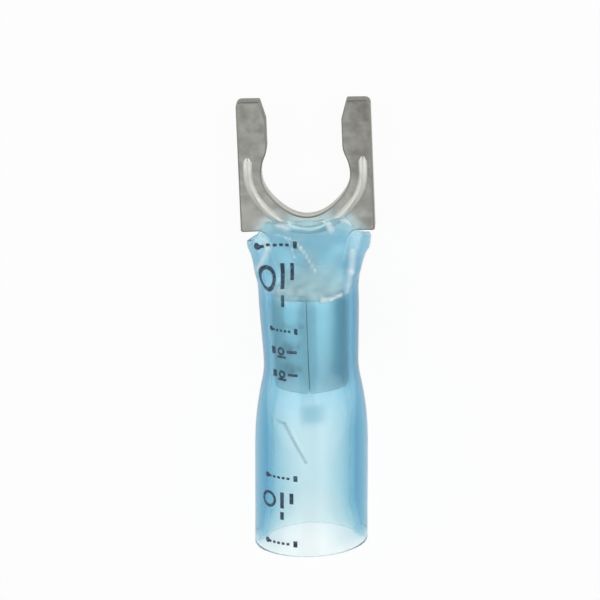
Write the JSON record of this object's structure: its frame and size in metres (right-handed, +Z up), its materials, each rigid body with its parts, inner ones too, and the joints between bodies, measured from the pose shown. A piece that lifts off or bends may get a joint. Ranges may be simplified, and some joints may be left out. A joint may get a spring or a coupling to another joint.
{
  "type": "insulated snap fork terminal",
  "caption": "Tin-plated snap-fork crimp terminal with a square-shouldered tongue, partly covered by a translucent blue heat-shrink sleeve that flares over the wire entry.",
  "frame": {"origin": "centre of the bounding box's base, on the surface that the terminal lies on: 3.0 mm below the barrel's axis and midway between the sleeve's wire end and the fork's tips", "axes": "+Y along the barrel's axis towards the fork's open end, +Z up, out of the tongue's top face and through the barrel's seam, +X to the right of the two"},
  "size_m": [0.0072, 0.024, 0.006],
  "materials": {
    "tin_plate": "satin tin plate on copper",
    "blue_shrink_tube": "translucent light blue, glossy"
  },
  "bodies": {
    "root": {"fork_terminal": "tin_plate", "shrink_sleeve": "blue_shrink_tube"}
  },
  "joints": []
}
